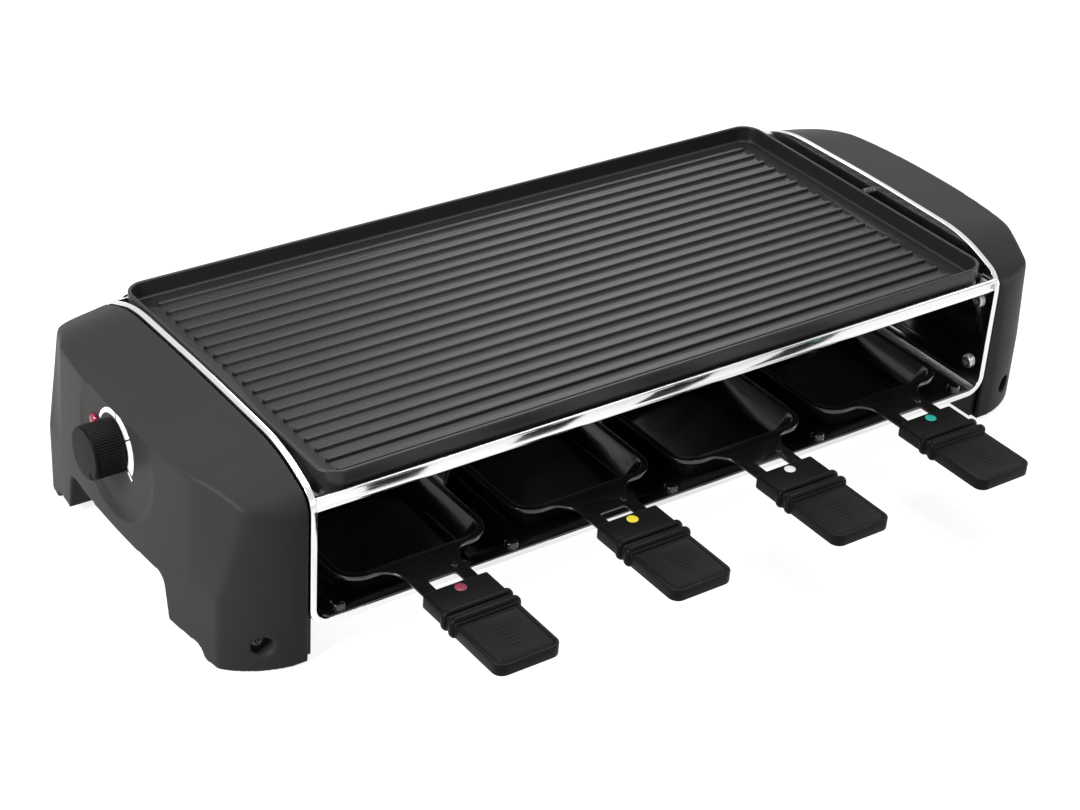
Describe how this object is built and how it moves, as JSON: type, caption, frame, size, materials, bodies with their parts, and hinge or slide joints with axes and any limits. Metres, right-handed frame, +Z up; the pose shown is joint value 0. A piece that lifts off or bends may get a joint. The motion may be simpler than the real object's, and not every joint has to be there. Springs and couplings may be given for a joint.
{
  "type": "raclette grill",
  "caption": "Table-top electric raclette grill: ribbed lift-off plate over a heated space, with pull-out pans at front and rear, a turning knob and plastic end housings.",
  "frame": {"origin": "middle of the whole grill's outline in plan, on the table", "axes": "+X along the grill away from the knob, +Y from the front pans to the rear pans, +Z up"},
  "size_m": [0.6008, 0.4364, 0.1175],
  "materials": {
    "polished_steel": "polished",
    "bare_steel": "zinc plated",
    "element_steel": "heat dulled",
    "black_enamel": "glossy black enamel",
    "coated_aluminium": "satin non-stick coating",
    "housing_plastic": "fine satin grain",
    "cover_plastic": "matt",
    "handle_plastic": "satin",
    "knob_plastic": "satin, knurled grip",
    "rubber": "matt",
    "ceramic": "glazed ceramic",
    "dial_white": "printed white",
    "lens_red": "clear red",
    "lamp_glass": "clear",
    "wire_cover": "braided glass sleeve",
    "dot_red": "glossy",
    "dot_yellow": "glossy",
    "dot_white": "glossy",
    "dot_teal": "glossy",
    "dot_blue": "glossy",
    "dot_orange": "glossy",
    "dot_pink": "glossy",
    "dot_green": "glossy"
  },
  "bodies": {
    "base": {"steel_frame": "polished_steel", "front_rail": "polished_steel", "rear_rail": "polished_steel", "shelf_tray": "black_enamel", "heating_element": "element_steel", "element_crossbars": "bare_steel", "element_bushes": "ceramic", "left_housing": "housing_plastic", "right_housing": "housing_plastic", "left_inner_cover": "cover_plastic", "right_inner_cover": "cover_plastic", "foot_pads": "rubber", "wall_screws": "bare_steel", "leg_screws": "bare_steel", "plate_studs": "bare_steel", "thermostat_body": "ceramic", "thermostat_bracket": "bare_steel", "dial_scale": "dial_white", "lamp_lens": "lens_red", "lamp_body": "lamp_glass", "terminal_block": "dial_white", "inner_wires": "wire_cover", "thermal_fuse": "bare_steel", "cable_inlet": "rubber"},
    "knob": {"knob": "knob_plastic", "thermostat_spindle": "bare_steel"},
    "plate": {"grill_plate": "coated_aluminium"},
    "front_pan_1": {"front_pan_1": "black_enamel", "front_handle_1": "handle_plastic", "front_dot_1": "dot_red"},
    "front_pan_2": {"front_pan_2": "black_enamel", "front_handle_2": "handle_plastic", "front_dot_2": "dot_yellow"},
    "front_pan_3": {"front_pan_3": "black_enamel", "front_handle_3": "handle_plastic", "front_dot_3": "dot_white"},
    "front_pan_4": {"front_pan_4": "black_enamel", "front_handle_4": "handle_plastic", "front_dot_4": "dot_teal"},
    "rear_pan_1": {"rear_pan_1": "black_enamel", "rear_handle_1": "handle_plastic", "rear_dot_1": "dot_blue"},
    "rear_pan_2": {"rear_pan_2": "black_enamel", "rear_handle_2": "handle_plastic", "rear_dot_2": "dot_orange"},
    "rear_pan_3": {"rear_pan_3": "black_enamel", "rear_handle_3": "handle_plastic", "rear_dot_3": "dot_pink"},
    "rear_pan_4": {"rear_pan_4": "black_enamel", "rear_handle_4": "handle_plastic", "rear_dot_4": "dot_green"}
  },
  "joints": [
    {"name": "knob_turn", "type": "hinge", "parent": "base", "child": "knob", "pos_m": [-0.28165, 0, 0.0865], "axis": [-1, 0, 0], "range_deg": [0, 222]},
    {"name": "plate_lift", "type": "slide", "parent": "base", "child": "plate", "axis": [0, 0, 1], "range_m": [0, 0.1]},
    {"name": "front_pan_1_pull", "type": "slide", "parent": "base", "child": "front_pan_1", "axis": [0, -1, 0], "range_m": [0, 0.12]},
    {"name": "front_pan_2_pull", "type": "slide", "parent": "base", "child": "front_pan_2", "axis": [0, -1, 0], "range_m": [0, 0.12]},
    {"name": "front_pan_3_pull", "type": "slide", "parent": "base", "child": "front_pan_3", "axis": [0, -1, 0], "range_m": [0, 0.12]},
    {"name": "front_pan_4_pull", "type": "slide", "parent": "base", "child": "front_pan_4", "axis": [0, -1, 0], "range_m": [0, 0.12]},
    {"name": "rear_pan_1_pull", "type": "slide", "parent": "base", "child": "rear_pan_1", "axis": [0, 1, 0], "range_m": [0, 0.12]},
    {"name": "rear_pan_2_pull", "type": "slide", "parent": "base", "child": "rear_pan_2", "axis": [0, 1, 0], "range_m": [0, 0.12]},
    {"name": "rear_pan_3_pull", "type": "slide", "parent": "base", "child": "rear_pan_3", "axis": [0, 1, 0], "range_m": [0, 0.12]},
    {"name": "rear_pan_4_pull", "type": "slide", "parent": "base", "child": "rear_pan_4", "axis": [0, 1, 0], "range_m": [0, 0.12]}
  ]
}
